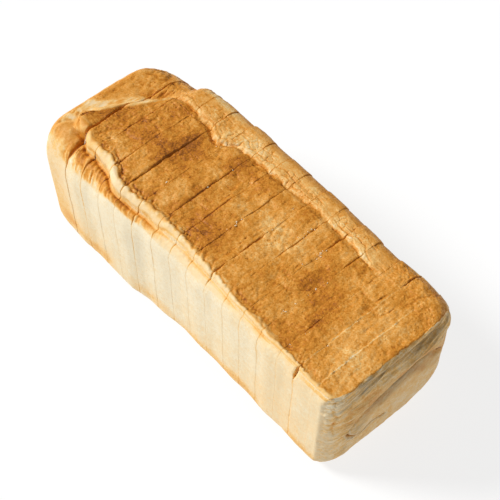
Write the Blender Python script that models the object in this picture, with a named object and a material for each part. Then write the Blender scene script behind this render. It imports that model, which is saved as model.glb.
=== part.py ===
"""A sliced tin loaf: sixteen slices standing together in the shape that the loaf was baked in.

Metres, +Z up. The loaf lies along X on its flat base. Its far end, where the crown steps down, is at -X.
Its long pale side, with a roll of soft crust along the top, faces -Y.
"""

import math

import bmesh
import bpy
from mathutils import Matrix, Vector

# Driving sizes
LENGTH = 0.2930
HEIGHT = 0.104
FAR_END = -0.1495
NEAR_END = FAR_END + LENGTH
# Where the middle of the whole loaf lies in the x and y used below. It becomes the origin.
CENTRE = Vector((-0.0011, -0.0006))

# Thickness of each slice, from the far end. The first and the last are the crust ends.
THICKNESS = (
    0.0315, 0.0170, 0.0185, 0.0175, 0.0170, 0.0190, 0.0170, 0.0170,
    0.0180, 0.0175, 0.0165, 0.0170, 0.0180, 0.0155, 0.0165, 0.0195,
)  # fmt: skip
# How far each slice has slid to +Y, and how much lower than the crown it stands.
SLIDE = (
    -0.0010, -0.0016, -0.0002, -0.0008, -0.0006, 0.0004, 0.0000, 0.0003,
    -0.0003, 0.0005, 0.0000, 0.0004, -0.0004, 0.0005, -0.0003, 0.0002,
)  # fmt: skip
SINK = (
    0.0004, 0.0008, 0.0002, 0.0000, 0.0010, 0.0003, 0.0008, 0.0002,
    0.0005, 0.0001, 0.0004, 0.0000, 0.0005, 0.0002, 0.0006, 0.0003,
)  # fmt: skip
# How far apart the slices stand at each cut. Slices that lean on each other keep the smallest gap.
GAPS = (
    0.0012, 0.0005, 0.0003, 0.0006, 0.0004, 0.0005, 0.0004, 0.0003,
    0.0003, 0.0004, 0.0003, 0.0003, 0.0003, 0.0006, 0.0003,
)  # fmt: skip

# The cuts aren't quite upright: the foot of a cut stands this far along X from its top.
LEAN_FAR = 0.007
LEAN_NEAR = -0.004

# What changes along the loaf, as (x, value). The lid is the raised flat part of the crown: it starts at
# LID_LEFT with a roll, above a lower ledge. A crease runs along its other side.
LEFT_SIDE = (
    (-0.148, -0.0560), (-0.100, -0.0568), (-0.060, -0.0562), (-0.035, -0.0538), (0.000, -0.0520),
)  # fmt: skip
RIGHT_SIDE = (
    (-0.148, 0.0500), (-0.100, 0.0548), (-0.040, 0.0562), (0.030, 0.0566),
    (0.090, 0.0550), (0.106, 0.0555), (0.109, 0.0570),
)  # fmt: skip
LID_LEFT = (
    (-0.120, -0.0370), (-0.108, -0.0420), (-0.090, -0.0425), (-0.070, -0.0490),
    (0.000, -0.0450), (0.060, -0.0485), (0.144, -0.0490),
)  # fmt: skip
LID_DROP = (
    (-0.148, 0.0066), (-0.132, 0.0072), (-0.120, 0.0090), (-0.060, 0.0090),
    (0.000, 0.0065), (0.060, 0.0045), (0.100, 0.0025),
)  # fmt: skip
ROLL_WIDTH = ((-0.110, 0.0075), (-0.050, 0.0070), (0.020, 0.0040), (0.144, 0.0030))
LEFT_SHOULDER = ((-0.148, 0.0280), (-0.060, 0.0240), (-0.030, 0.0150), (0.144, 0.0140))
RIGHT_SHOULDER = ((-0.148, 0.0240), (-0.115, 0.0200), (-0.075, 0.0110), (0.110, 0.0100), (0.144, 0.0190))
LEFT_FOOT = ((-0.050, 0.0080), (0.010, 0.0140), (0.144, 0.0160))
RIGHT_FOOT = ((0.060, 0.0140), (0.110, 0.0180), (0.144, 0.0300))
CREASE = (
    (-0.148, 0.0260), (-0.070, 0.0300), (-0.055, 0.0245), (-0.040, 0.0315), (0.020, 0.0360), (0.144, 0.0330),
)  # fmt: skip
CREASE_DEPTH = ((-0.120, 0.0), (-0.100, 0.0016), (0.060, 0.0014), (0.088, 0.0))
CREASE_WIDTH = 0.004

# The lid ends at this line across the loaf. Past it the far corner stands lower.
STEP_START = Vector((-0.131, -0.027))
STEP_END = Vector((-0.097, 0.033))
STEP_DROP = 0.0068
STEP_WIDTH = 0.009
STEP_FALL = 0.06
LEAST_LID = 0.006

# How the crust ends are rounded over, towards the top, the base, -Y and +Y, and how far they fall back from
# their most outward height.
NEAR_ROUND = {"top": 0.0045, "base": 0.0145, "left": 0.007, "right": 0.013}
FAR_ROUND = {"top": 0.009, "base": 0.022, "left": 0.010, "right": 0.018}
NEAR_DOME = 0.002
FAR_DOME = 0.004
DOME_HEIGHT = 0.045
DOME_HALF = 0.055
END_SPREAD = 0.018

# The near end has a hollow under its top edge, then a fold whose lower lip overhangs. A seam runs below the
# lip's low end. Both lines are (y, z).
LIP = (
    (-0.033, 0.048), (-0.027, 0.059), (-0.015, 0.065), (0.003, 0.071),
    (0.020, 0.075), (0.036, 0.073), (0.043, 0.062),
)  # fmt: skip
LIP_DEPTH = 0.0030
LIP_WIDTH = 0.0045
LIP_MIDDLE = 0.0665
LIP_REACH = 0.034
FOLD_PROUD = 0.0030
FOLD_HEIGHT = 0.020
SEAM = ((-0.033, 0.046), (-0.033, 0.036), (-0.022, 0.027), (-0.010, 0.033), (0.000, 0.028))
SEAM_DEPTH = 0.0014
SEAM_WIDTH = 0.0032
HOLLOW_MIDDLE = 0.0935
HOLLOW_DEPTH = 0.0022
HOLLOW_WIDTH = 0.0050

# Faces across the loaf and up it: on a plain slice, on those that the step crosses, and on the folded end.
ACROSS = 20
UP = 13
STEP_ACROSS = 26
FOLD_ACROSS = 32
FOLD_UP = 26
# Bands along X between a slice's cuts, and the depths behind each crust end where its sections lie.
PLAIN_BANDS = 2
STEP_BANDS = 4
STEP_SLICES = 4
FAR_DEPTHS = (0, 0.0012, 0.0045, 0.010, 0.016, 0.023)
NEAR_DEPTHS = (0, 0.0008, 0.003, 0.007, 0.013)
# Where along each run of the outline its stretches meet.
LEFT_STATIONS = (0.23, 0.54)
TOP_STATIONS = (0.23, 0.68, 0.86)
RIGHT_STATIONS = (0.25, 0.72)
BASE_STATIONS = (0.10, 0.90)
# How strongly the roll's points gather at its foot, and how square the left shoulder is.
ROLL_SPACING = 1.6
SHOULDER_POWER = 0.9

CRUST_COLOUR = (0.62, 0.33, 0.09)
PALE_COLOUR = (0.86, 0.68, 0.40)
CRUST_ROUGHNESS = 0.7
SHARP_ANGLE = math.radians(50)


def clamp(value):
    return max(0.0, min(1.0, value))


def ease(low, high, value):
    """0 up to low, 1 from high on, and a smooth rise between."""
    t = clamp((value - low) / (high - low))
    return t * t * (3 - 2 * t)


def bump(offset, width):
    """1 at no offset, falling smoothly to 0 at the width."""
    return 1 - ease(0, width, abs(offset))


def share(t, start, end):
    """How far t has come from start to end, 0 to 1."""
    return (t - start) / (end - start)


def along(x, table):
    """The value at x of a table of (x, value), eased from each entry to the next."""
    for (x0, v0), (x1, v1) in zip(table, table[1:]):
        if x <= x1:
            return v0 + (v1 - v0) * ease(x0, x1, x)
    return table[-1][1]


def distance(point, line):
    """How far a point lies from a line of several straight runs."""
    nearest = math.inf
    for start, end in zip(line, line[1:]):
        run = Vector(end) - Vector(start)
        t = clamp((point - Vector(start)).dot(run) / run.length_squared)
        nearest = min(nearest, (point - Vector(start) - run * t).length)
    return nearest


def height_over(y, line):
    """The height at y of a line of several straight runs that goes from -Y to +Y."""
    for (y0, z0), (y1, z1) in zip(line, line[1:]):
        if y <= y1:
            return z0 + (z1 - z0) * clamp(share(y, y0, y1))
    return line[-1][1]


def past_step(x, y):
    """How far a point of the crown lies past the step line, towards the far right corner."""
    line = (STEP_END - STEP_START).normalized()
    return line.x * (y - STEP_START.y) - line.y * (x - STEP_START.x)


def step_crossing(x):
    """Where the step line crosses the section at x."""
    return STEP_START.y + (STEP_END.y - STEP_START.y) * share(x, STEP_START.x, STEP_END.x)


def crown(x, y):
    """Height of the top crust above the base."""
    past = past_step(x, y)
    rise = clamp((y - along(x, LID_LEFT)) / along(x, ROLL_WIDTH))
    roll = math.sqrt(1 - (1 - rise) ** 2)
    z = HEIGHT - along(x, LID_DROP) * (1 - roll)
    z -= STEP_DROP * ease(0, STEP_WIDTH, past) * roll
    z -= STEP_FALL * max(0.0, past)
    return z - along(x, CREASE_DEPTH) * bump(y - along(x, CREASE), CREASE_WIDTH)


def foot(side, radius, angle):
    """A point of a rounded bottom corner: angle 0 is where it meets the side, 90 where it meets the base."""
    inward = radius * (1 - math.cos(math.radians(angle)))
    y = side + inward if side < 0 else side - inward
    return y, radius * (1 - math.sin(math.radians(angle)))


def left_run(x, t):
    """The outline's left side, from the middle of the bottom corner up to the foot of the roll."""
    side = along(x, LEFT_SIDE)
    radius = along(x, LEFT_FOOT)
    groove = along(x, LID_LEFT)
    ledge = crown(x, groove)
    shoulder = along(x, LEFT_SHOULDER)
    corner, straight = LEFT_STATIONS
    if t < corner:
        return foot(side, radius, 45 * (1 - t / corner))
    if t < straight:
        return side, radius + (ledge - shoulder - radius) * share(t, corner, straight)
    angle = math.radians(90 * share(t, straight, 1))
    y = groove - (groove - side) * math.cos(angle) ** SHOULDER_POWER
    return y, ledge - shoulder * (1 - math.sin(angle) ** SHOULDER_POWER)


def top_run(x, t):
    """The outline's top, from the foot of the roll over the crown to the middle of the right shoulder."""
    groove = along(x, LID_LEFT)
    left = groove + along(x, ROLL_WIDTH)
    radius = along(x, RIGHT_SHOULDER)
    edge = along(x, RIGHT_SIDE) - radius
    right = max(left + LEAST_LID, min(along(x, CREASE), step_crossing(x), edge))
    roll, flat, band = TOP_STATIONS
    if t < roll:
        y = groove + (left - groove) * share(t, 0, roll) ** ROLL_SPACING
        return y, crown(x, y)
    if t < flat:
        y = left + (right - left) * share(t, roll, flat)
        return y, crown(x, y)
    if t < band:
        y = right + (edge - right) * share(t, flat, band)
        return y, crown(x, y)
    angle = math.radians(45 * share(t, band, 1))
    return edge + radius * math.sin(angle), crown(x, edge) - radius * (1 - math.cos(angle))


def right_run(x, t):
    """The outline's right side, from the middle of the bottom corner up to the middle of the shoulder."""
    side = along(x, RIGHT_SIDE)
    low = along(x, RIGHT_FOOT)
    radius = along(x, RIGHT_SHOULDER)
    shoulder = crown(x, side - radius) - radius
    corner, straight = RIGHT_STATIONS
    if t < corner:
        return foot(side, low, 45 * (1 - t / corner))
    if t < straight:
        return side, low + (shoulder - low) * share(t, corner, straight)
    angle = math.radians(45 * share(t, straight, 1))
    return side - radius * (1 - math.cos(angle)), shoulder + radius * math.sin(angle)


def base_run(x, t):
    """The outline's base, from the middle of the left bottom corner to the middle of the right one."""
    left = along(x, LEFT_SIDE)
    right = along(x, RIGHT_SIDE)
    left_foot = along(x, LEFT_FOOT)
    right_foot = along(x, RIGHT_FOOT)
    first, last = BASE_STATIONS
    if t < first:
        return foot(left, left_foot, 45 + 45 * t / first)
    if t > last:
        return foot(right, right_foot, 90 - 45 * share(t, last, 1))
    start = left + left_foot
    return start + (right - right_foot - start) * share(t, first, last), 0.0


def section(x, across, up):
    """A (y, z) point of the section at x: on its outline where across or up is 0 or 1, else within it."""
    left = Vector(left_run(x, up))
    right = Vector(right_run(x, up))
    top = Vector(top_run(x, across))
    base = Vector(base_run(x, across))
    low = Vector(base_run(x, 0)).lerp(Vector(base_run(x, 1)), across)
    high = Vector(top_run(x, 0)).lerp(Vector(top_run(x, 1)), across)
    return left.lerp(right, across) + base.lerp(top, up) - low.lerp(high, up)


def pull(depth, radius):
    """How far a rounded end has drawn in, at this depth behind its face."""
    if depth >= radius:
        return 0.0
    return radius - math.sqrt(radius**2 - (radius - depth) ** 2)


def drawn_in(point, depth, rounds):
    """A point of a section near a crust end, moved towards the section's middle by the end's rounding."""
    middle = HEIGHT / 2
    side = rounds["left"] if point.x < 0 else rounds["right"]
    cap = rounds["base"] if point.y < middle else rounds["top"]
    y = point.x * (1 - pull(depth, side) / DOME_HALF)
    z = middle + (point.y - middle) * (1 - pull(depth, cap) / middle)
    return Vector((y, z))


def dome(point, most):
    """How far a crust end falls back, away from its most outward height."""
    away = ((point.y - DOME_HEIGHT) / (HEIGHT - DOME_HEIGHT)) ** 2 + (point.x / DOME_HALF) ** 2
    return most * clamp(away / 2)


def along_lip(point):
    """A point of the near end, moved up or down so that a row of faces follows the fold's lip."""
    rise = (height_over(point.x, LIP) - LIP_MIDDLE) * (1 - ease(0.030, 0.048, abs(point.x)))
    return Vector((point.x, point.y + rise * bump(point.y - LIP_MIDDLE, LIP_REACH)))


def fold(point):
    """How far the near end's crust stands out of its plane."""
    y, z = point
    inside = ease(-0.044, -0.034, y) * (1 - ease(0.040, 0.047, y))
    above = math.copysign(distance(point, LIP), z - height_over(y, LIP))
    out = FOLD_PROUD * inside * ease(0, LIP_WIDTH, above) * (1 - ease(FOLD_HEIGHT / 2, FOLD_HEIGHT, above))
    out -= LIP_DEPTH * inside * bump(above + LIP_WIDTH / 3, LIP_WIDTH)
    out -= HOLLOW_DEPTH * bump(z - HOLLOW_MIDDLE, HOLLOW_WIDTH) * ease(-0.035, -0.005, y)
    return out - SEAM_DEPTH * bump(distance(point, SEAM), SEAM_WIDTH)


def place(index, x, point):
    """A section's point in the loaf's frame, with the cut's lean and the slice's own slide and height."""
    lean = LEAN_FAR + (LEAN_NEAR - LEAN_FAR) * (x - FAR_END) / LENGTH
    y = point.x + SLIDE[index] - CENTRE.y
    z = point.y * (1 - SINK[index] / HEIGHT)
    return Vector((x + lean * (1 - point.y / HEIGHT) - CENTRE.x, y, z))


def block(bands, across, up):
    """A cube from 0 to 1 each way, cut into bands along X and into a grid on its ends."""
    mesh = bmesh.new()
    bmesh.ops.create_cube(mesh, size=1, matrix=Matrix.Translation((0.5, 0.5, 0.5)))
    for axis, count in enumerate((bands, across, up)):
        edges = [edge for edge in mesh.edges if abs(edge.verts[1].co[axis] - edge.verts[0].co[axis]) > 0.5]
        bmesh.ops.subdivide_edges(mesh, edges=edges, cuts=count - 1, use_grid_fill=True)
    return mesh


def merge_flat(mesh, test):
    """Makes one face of the flat group of faces that the test picks out."""
    faces = [face for face in mesh.faces if test(face)]
    bmesh.ops.dissolve_faces(mesh, faces=faces, use_verts=False)


def slice_mesh(index, stops, across, up):
    """One slice, with its sections at the stops along X. The first and the last have a rounded crust end."""
    mesh = block(len(stops) - 1, across, up)
    last = len(stops) - 1
    grid = {vert: (round(vert.co.x * last), vert.co.y, vert.co.z) for vert in mesh.verts}
    for vert, (stop, over, rise) in grid.items():
        x = stops[stop]
        point = section(x, over, rise)
        if index == 0:
            point = drawn_in(point, x - FAR_END, FAR_ROUND)
            x += dome(point, FAR_DOME) * clamp(1 - (x - FAR_END) / END_SPREAD)
        if index == len(GAPS):
            spread = clamp(1 - (NEAR_END - x) / END_SPREAD)
            point = along_lip(drawn_in(point, NEAR_END - x, NEAR_ROUND))
            x += (fold(point) - dome(point, NEAR_DOME)) * spread
        vert.co = place(index, x, point)
    if index > 0:
        merge_flat(mesh, lambda face: all(grid[vert][0] == 0 for vert in face.verts))
    if index < len(GAPS):
        merge_flat(mesh, lambda face: all(grid[vert][0] == last for vert in face.verts))
    merge_flat(mesh, lambda face: all(vert.co.z < 1e-6 for vert in face.verts))
    bmesh.ops.recalc_face_normals(mesh, faces=mesh.faces)
    return mesh


def slice_stops(index, start, end):
    """Places along X of a slice's sections: closer together where a crust end rounds over."""
    low = start + (GAPS[index - 1] / 2 if index else 0)
    high = end - (GAPS[index] / 2 if index < len(GAPS) else 0)
    if index == 0:
        return [low + depth for depth in FAR_DEPTHS] + [high]
    if index == len(GAPS):
        return [low] + [NEAR_END - depth for depth in reversed(NEAR_DEPTHS)]
    bands = STEP_BANDS if index < STEP_SLICES else PLAIN_BANDS
    return [low + (high - low) * band / bands for band in range(bands + 1)]


def slice_grid(index):
    """Faces across a slice and up it."""
    if index == len(GAPS):
        return FOLD_ACROSS, FOLD_UP
    return (STEP_ACROSS if index < STEP_SLICES else ACROSS), UP


def crust_material(index):
    """The slice's crust: golden brown, and paler towards the near end, where it baked less."""
    share_pale = 0.25 * index / len(GAPS)
    colour = Vector(CRUST_COLOUR).lerp(Vector(PALE_COLOUR), share_pale)
    material = bpy.data.materials.new(f"slice_{index + 1:02d}_crust")
    material.use_nodes = True
    shader = material.node_tree.nodes["Principled BSDF"]
    shader.inputs["Base Color"].default_value = (*colour, 1)
    shader.inputs["Roughness"].default_value = CRUST_ROUGHNESS
    shader.inputs["Metallic"].default_value = 0.0
    return material


def add_slice(index, start, end, collection):
    """Makes slice number index, which stands between start and end along X."""
    across, up = slice_grid(index)
    mesh = slice_mesh(index, slice_stops(index, start, end), across, up)
    name = f"slice_{index + 1:02d}"
    data = bpy.data.meshes.new(name)
    mesh.to_mesh(data)
    mesh.free()
    data.shade_smooth()
    data.set_sharp_from_angle(angle=SHARP_ANGLE)
    data.materials.append(crust_material(index))
    collection.objects.link(bpy.data.objects.new(name, data))


def main():
    for thing in list(bpy.data.objects):
        bpy.data.objects.remove(thing)
    collection = bpy.data.collections.new("tin_loaf")
    bpy.context.scene.collection.children.link(collection)
    start = FAR_END
    for index, thickness in enumerate(THICKNESS):
        add_slice(index, start, start + thickness, collection)
        start += thickness


main()
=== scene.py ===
from itertools import product
from types import SimpleNamespace

import bmesh
import bpy
import numpy as np
from mathutils import Matrix, Vector


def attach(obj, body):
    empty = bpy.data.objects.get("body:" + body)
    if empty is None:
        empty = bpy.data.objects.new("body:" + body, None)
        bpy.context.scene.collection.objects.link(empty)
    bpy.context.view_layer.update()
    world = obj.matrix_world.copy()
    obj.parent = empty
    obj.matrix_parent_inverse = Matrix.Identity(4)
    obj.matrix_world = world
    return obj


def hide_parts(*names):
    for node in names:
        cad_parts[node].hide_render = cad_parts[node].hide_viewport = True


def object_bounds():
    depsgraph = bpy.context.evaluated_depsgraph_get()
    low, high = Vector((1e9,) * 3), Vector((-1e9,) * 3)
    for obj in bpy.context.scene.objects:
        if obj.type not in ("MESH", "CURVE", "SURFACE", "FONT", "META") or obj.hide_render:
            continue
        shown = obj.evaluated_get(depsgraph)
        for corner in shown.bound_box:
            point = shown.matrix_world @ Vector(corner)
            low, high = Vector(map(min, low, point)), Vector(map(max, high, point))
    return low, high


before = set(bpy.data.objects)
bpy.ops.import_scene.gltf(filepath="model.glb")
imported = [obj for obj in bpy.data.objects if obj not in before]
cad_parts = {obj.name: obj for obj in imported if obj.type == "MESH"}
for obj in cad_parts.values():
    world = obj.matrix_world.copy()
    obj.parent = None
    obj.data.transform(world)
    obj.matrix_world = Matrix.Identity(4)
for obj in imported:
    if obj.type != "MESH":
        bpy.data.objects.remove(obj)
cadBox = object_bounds()
scene = bpy.context.scene
print("frame loaded:", len(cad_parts), "nodes")

mm = 0.001


def metres(form):  # from millimetres, however the lengths are nested
    if isinstance(form, dict):
        return {name: metres(part) for name, part in form.items()}
    return tuple(metres(part) for part in form) if isinstance(form, tuple) else form / 1000


# The loaf's form, as its solids have it. x runs along the loaf, y across it, z up. Tables are (x, value).
loafForm = metres({
    "length": 293, "height": 104, "farEnd": -149.5, "centre": (-1.1, -0.6),
    "leanFar": 7, "leanNear": -4,
    "leftSide": ((-148, -56), (-100, -56.8), (-60, -56.2), (-35, -53.8), (0, -52)),
    "rightSide": ((-148, 50), (-100, 54.8), (-40, 56.2), (30, 56.6), (90, 55), (106, 55.5), (109, 57)),
    "lidLeft": ((-120, -37), (-108, -42), (-90, -42.5), (-70, -49), (0, -45), (60, -48.5), (144, -49)),
    "lidDrop": ((-148, 6.6), (-132, 7.2), (-120, 9), (-60, 9), (0, 6.5), (60, 4.5), (100, 2.5)),
    "rollWidth": ((-110, 7.5), (-50, 7), (20, 4), (144, 3)),
    "leftShoulder": ((-148, 28), (-60, 24), (-30, 15), (144, 14)),
    "rightShoulder": ((-148, 24), (-115, 20), (-75, 11), (110, 10), (144, 19)),
    "leftFoot": ((-50, 8), (10, 14), (144, 16)),
    "rightFoot": ((60, 14), (110, 18), (144, 30)),
    "crease": ((-148, 26), (-70, 30), (-55, 24.5), (-40, 31.5), (20, 36), (144, 33)),
    "creaseDepth": ((-120, 0), (-100, 1.6), (60, 1.4), (88, 0)),
    "creaseWidth": 4,
    "stepStart": (-131, -27), "stepEnd": (-97, 33),
    "stepDrop": 6.8, "stepWidth": 9, "leastLid": 6,
    "tipMiddle": (-121.5, -27.5), "tipRadius": 9.2, "tipFall": 4,
})

sliceForm = metres({
    "thickness": (31.5, 17, 18.5, 17.5, 17, 19, 17, 17, 18, 17.5, 16.5, 17, 18, 15.5, 16.5, 19.5),
    "slide": (-1, -1.6, -0.2, -0.8, -0.6, 0.4, 0, 0.3, -0.3, 0.5, 0, 0.4, -0.4, 0.5, -0.3, 0.2),
    "sink": (0.4, 0.8, 0.2, 0, 1, 0.3, 0.8, 0.2, 0.5, 0.1, 0.4, 0, 0.5, 0.2, 0.6, 0.3),
})

endForm = metres({
    "nearRound": {"top": 4.5, "base": 14.5, "left": 12, "right": 13},
    "farRound": {"top": 9, "base": 22, "left": 10, "right": 18},
    "nearDome": 2, "farDome": 4, "domeHeight": 45, "domeHalf": 55, "spread": 18,
    "lip": ((-33, 48), (-27, 59), (-15, 65), (3, 71), (20, 75), (36, 73), (43, 62)),
    "lipDepth": 2.8, "lipWidth": 4.5, "foldProud": 1.6, "foldHeight": 20,
    "seam": ((-33, 46), (-33, 36), (-22, 27), (-10, 33), (0, 28)),
    "split": ((-46.5, 99), (-48, 90), (-45.5, 80), (-47.5, 66), (-46, 56)),
    "seamDepth": 1.4, "seamWidth": 3.2,
    "hollowMiddle": 93.5, "hollowDepth": 2.2, "hollowWidth": 5,
})

# The fine grid: bands along each slice, faces across and up it, and where each side's stretches meet.
fineGrid = {
    "bands": 32, "nearBands": 36, "farBands": 40, "faces": (180, 80), "nearFaces": (190, 150),
    "leftStations": (0.12, 0.74), "topStations": (0.12, 0.21, 0.72, 0.90), "rightStations": (0.12, 0.78),
    "baseStations": (0.08, 0.92),
    "edgeSteps": (0, 0.00025, 0.0006, 0.0011),  # from a cut's edge inward
    "crowding": 1.7, "rollSpacing": 1.6, "sharpAngle": 60,
}
shoulderPower, stepSlope = 0.9, 0.06  # how square the ledge's rounding is, and how steeply the step falls


def clamp(value):
    return np.clip(value, 0, 1)


def ease(low, high, value):  # 0 up to low, 1 from high on
    t = clamp((value - low) / (high - low))
    return t * t * (3 - 2 * t)


def fade(low, high, length):  # the same between two lengths in millimetres
    return ease(low * mm, high * mm, length)


def bump(offset, width):  # 1 at no offset, 0 from the width on
    return 1 - ease(0, width, np.abs(offset))


def peak(length, place, width):  # 1 at that place, 0 from that width off it, both in millimetres
    return bump(length - place * mm, width * mm)


def share(t, start, end):
    return (t - start) / (end - start)


def mix(a, b, t):
    return a + (b - a) * t


def stacked(*parts):  # one row of numbers for each point
    return np.stack(parts, axis=1)


def along(x, table):
    places, values = np.array(table).T
    pair = np.clip(np.searchsorted(places, x) - 1, 0, len(places) - 2)
    t = clamp((x - places[pair]) / (places[pair + 1] - places[pair]))
    return mix(values[pair], values[pair + 1], t * t * (3 - 2 * t))


def at(name, x):
    return along(x, loafForm[name])


def rounded(line, times=3):  # a line of straight runs with its corners cut off
    points = np.array(line)
    for _ in range(times):
        early, late = mix(points[:-1], points[1:], 0.25), mix(points[:-1], points[1:], 0.75)
        points = np.concatenate((points[:1], np.stack((early, late), axis=1).reshape(-1, 2), points[-1:]))
    return points


def distance(y, z, line):  # from a line of straight runs
    nearest = np.full(len(y), np.inf)
    for (y0, z0), (y1, z1) in zip(line, line[1:]):
        dy, dz = y1 - y0, z1 - z0
        t = clamp(((y - y0) * dy + (z - z0) * dz) / (dy * dy + dz * dz))
        nearest = np.minimum(nearest, np.hypot(y - y0 - dy * t, z - z0 - dz * t))
    return nearest


def aboveLip(y, z):  # how far above the near end's lip, less than 0 below it
    return np.copysign(distance(y, z, lipLine), z - np.interp(y, *lipLine.T))


stepStart, stepEnd = Vector(loafForm["stepStart"]), Vector(loafForm["stepEnd"])
farEndX, nearEndX = loafForm["farEnd"], loafForm["farEnd"] + loafForm["length"]
loafHeight = loafForm["height"]
lipLine, seamLine = rounded(endForm["lip"]), rounded(endForm["seam"])


def pastStep(x, y):  # how far past the lid's far edge
    line = (stepEnd - stepStart).normalized()
    return line.x * (y - stepStart.y) - line.y * (x - stepStart.x)


def stepCrossing(x):
    return stepStart.y + (stepEnd.y - stepStart.y) * share(x, stepStart.x, stepEnd.x)


def pastTip(x, y):  # how far outside the rounded tip of the lid's left corner, from 0 to 1
    middle = loafForm["tipMiddle"]
    beyond = np.hypot(x - middle[0], y - middle[1]) - loafForm["tipRadius"]
    return ease(0, loafForm["tipFall"], beyond) * fade(-15, -23, y) * fade(-120.5, -123.5, x)


def crown(x, y):
    past = pastStep(x, y)
    rise = clamp((y - at("lidLeft", x)) / at("rollWidth", x))
    roll = np.sqrt(1 - (1 - rise) ** 2) * (1 - pastTip(x, y))
    z = loafHeight - at("lidDrop", x) * (1 - roll)
    z -= loafForm["stepDrop"] * ease(0, loafForm["stepWidth"], past) * roll
    z -= stepSlope * np.maximum(0, past)
    return z - at("creaseDepth", x) * bump(y - at("crease", x), loafForm["creaseWidth"])


def foot(side, radius, angle):
    turned = np.radians(angle)
    inward = radius * (1 - np.cos(turned))
    return np.stack((side - np.sign(side) * inward, radius * (1 - np.sin(turned))))


def pick(t, stations, *runs):  # the run whose stretch t is in
    chosen = runs[-1]
    for station, run in reversed(list(zip(stations, runs))):
        chosen = np.where(t < station, run, chosen)
    return chosen


def leftShoulder(x, angle):  # a point of the ledge's rounding: 0 at the side, 90 at the foot of the roll
    groove, side, shoulder = at("lidLeft", x), at("leftSide", x), at("leftShoulder", x)
    turned, power = np.radians(clamp(angle / 90) * 90), shoulderPower
    return np.stack((groove - (groove - side) * np.cos(turned) ** power,
                     crown(x, groove) - shoulder * (1 - np.sin(turned) ** power)))


def leftRun(x, t):
    side, radius = at("leftSide", x), at("leftFoot", x)
    high = crown(x, at("lidLeft", x)) - at("leftShoulder", x)
    corner, straight = fineGrid["leftStations"]
    wall = np.stack((side, mix(radius, high, share(t, corner, straight))))
    top = leftShoulder(x, 45 * share(t, straight, 1))
    return pick(t, (corner, straight), foot(side, radius, 45 * (1 - t / corner)), wall, top)


def topRun(x, t):
    t = t + 0 * x
    groove, radius = at("lidLeft", x), at("rightShoulder", x)
    left, edge = groove + at("rollWidth", x), at("rightSide", x) - radius
    right = np.minimum(np.minimum(at("crease", x), stepCrossing(x)), edge)
    right = np.maximum(left + loafForm["leastLid"], right)
    ledge, roll, flat, band = fineGrid["topStations"]
    y = pick(t, (roll, flat), groove + (left - groove) * clamp(share(t, ledge, roll)) ** fineGrid["rollSpacing"],
             mix(left, right, share(t, roll, flat)), mix(right, edge, share(t, flat, band)))
    turned = np.radians(45 * clamp(share(t, band, 1)))
    shoulder = np.stack((edge + radius * np.sin(turned), crown(x, edge) - radius * (1 - np.cos(turned))))
    return pick(t, (ledge, band), leftShoulder(x, 45 + 45 * t / ledge), np.stack((y, crown(x, y))), shoulder)


def rightRun(x, t):
    side, low, radius = at("rightSide", x), at("rightFoot", x), at("rightShoulder", x)
    shoulder = crown(x, side - radius) - radius
    corner, straight = fineGrid["rightStations"]
    wall = np.stack((side, mix(low, shoulder, share(t, corner, straight))))
    turned = np.radians(45 * clamp(share(t, straight, 1)))
    top = np.stack((side - radius * (1 - np.cos(turned)), shoulder + radius * np.sin(turned)))
    return pick(t, (corner, straight), foot(side, low, 45 * (1 - t / corner)), wall, top)


def baseRun(x, t):
    t = t + 0 * x
    left, right, leftFoot, rightFoot = (at(name, x) for name in ("leftSide", "rightSide", "leftFoot", "rightFoot"))
    first, last = fineGrid["baseStations"]
    flat = np.stack((mix(left + leftFoot, right - rightFoot, share(t, first, last)), 0 * x))
    return pick(t, (first, last), foot(left, leftFoot, 45 + 45 * t / first), flat,
                foot(right, rightFoot, 90 - 45 * share(t, last, 1)))


def section(x, over, rise):  # y and z of a point of the section at x, and how deep it lies in the slice
    left, right, top, base = leftRun(x, rise), rightRun(x, rise), topRun(x, over), baseRun(x, over)
    low = mix(baseRun(x, 0), baseRun(x, 1), over)
    high = mix(topRun(x, 0), topRun(x, 1), over)
    point = mix(left, right, over) + mix(base, top, rise) - mix(low, high, rise)
    deep = np.min([np.hypot(*(point - run)) for run in (left, right, top, base)], axis=0)
    return point[0], point[1], deep


def pull(depth, radius):
    inside = clamp(1 - depth / radius)
    return radius - np.sqrt(radius ** 2 - (radius * inside) ** 2)


def drawnIn(y, z, depth, rounds):
    middle = loafHeight / 2
    side = pull(depth, np.where(y < 0, rounds["left"], rounds["right"]))
    cap = pull(depth, np.where(z < middle, rounds["base"], rounds["top"]))
    return y * (1 - side / endForm["domeHalf"]), middle + (z - middle) * (1 - cap / middle)


def dome(y, z, most):
    middle = endForm["domeHeight"]
    away = ((z - middle) / (loafHeight - middle)) ** 2 + (y / endForm["domeHalf"]) ** 2
    return most * clamp(away / 2)


def fold(y, z):
    inside = fade(-44, -34, y) * fade(47, 40, y)
    width, height = endForm["lipWidth"], endForm["foldHeight"]
    above = aboveLip(y, z)
    out = endForm["foldProud"] * inside * ease(-0.3 * mm, width * 0.7, above) * ease(height, height / 2, above)
    out -= endForm["lipDepth"] * 0.7 * inside * bump(above + width / 2, width)
    out -= endForm["hollowDepth"] * bump(z - endForm["hollowMiddle"], endForm["hollowWidth"]) * fade(-35, -5, y)
    return out - endForm["seamDepth"] * bump(distance(y, z, seamLine), endForm["seamWidth"])


latticeCells = 37
lattice = np.random.default_rng(11).random((latticeCells,) * 3) * 2 - 1


def grain(places, size, seed):  # smooth unevenness from -1 to 1, of that size or sizes
    spots = places / np.array(size) + 7.3 * seed
    cell = np.floor(spots).astype(int)
    t = spots - cell
    t = t * t * t * (t * (6 * t - 15) + 10)
    total = 0
    for corner in product((0, 1), repeat=3):
        weight = np.prod(np.where(corner, t, 1 - t), axis=1)
        total = total + weight * lattice[tuple(((cell + corner) % latticeCells).T)]
    return total


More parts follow.
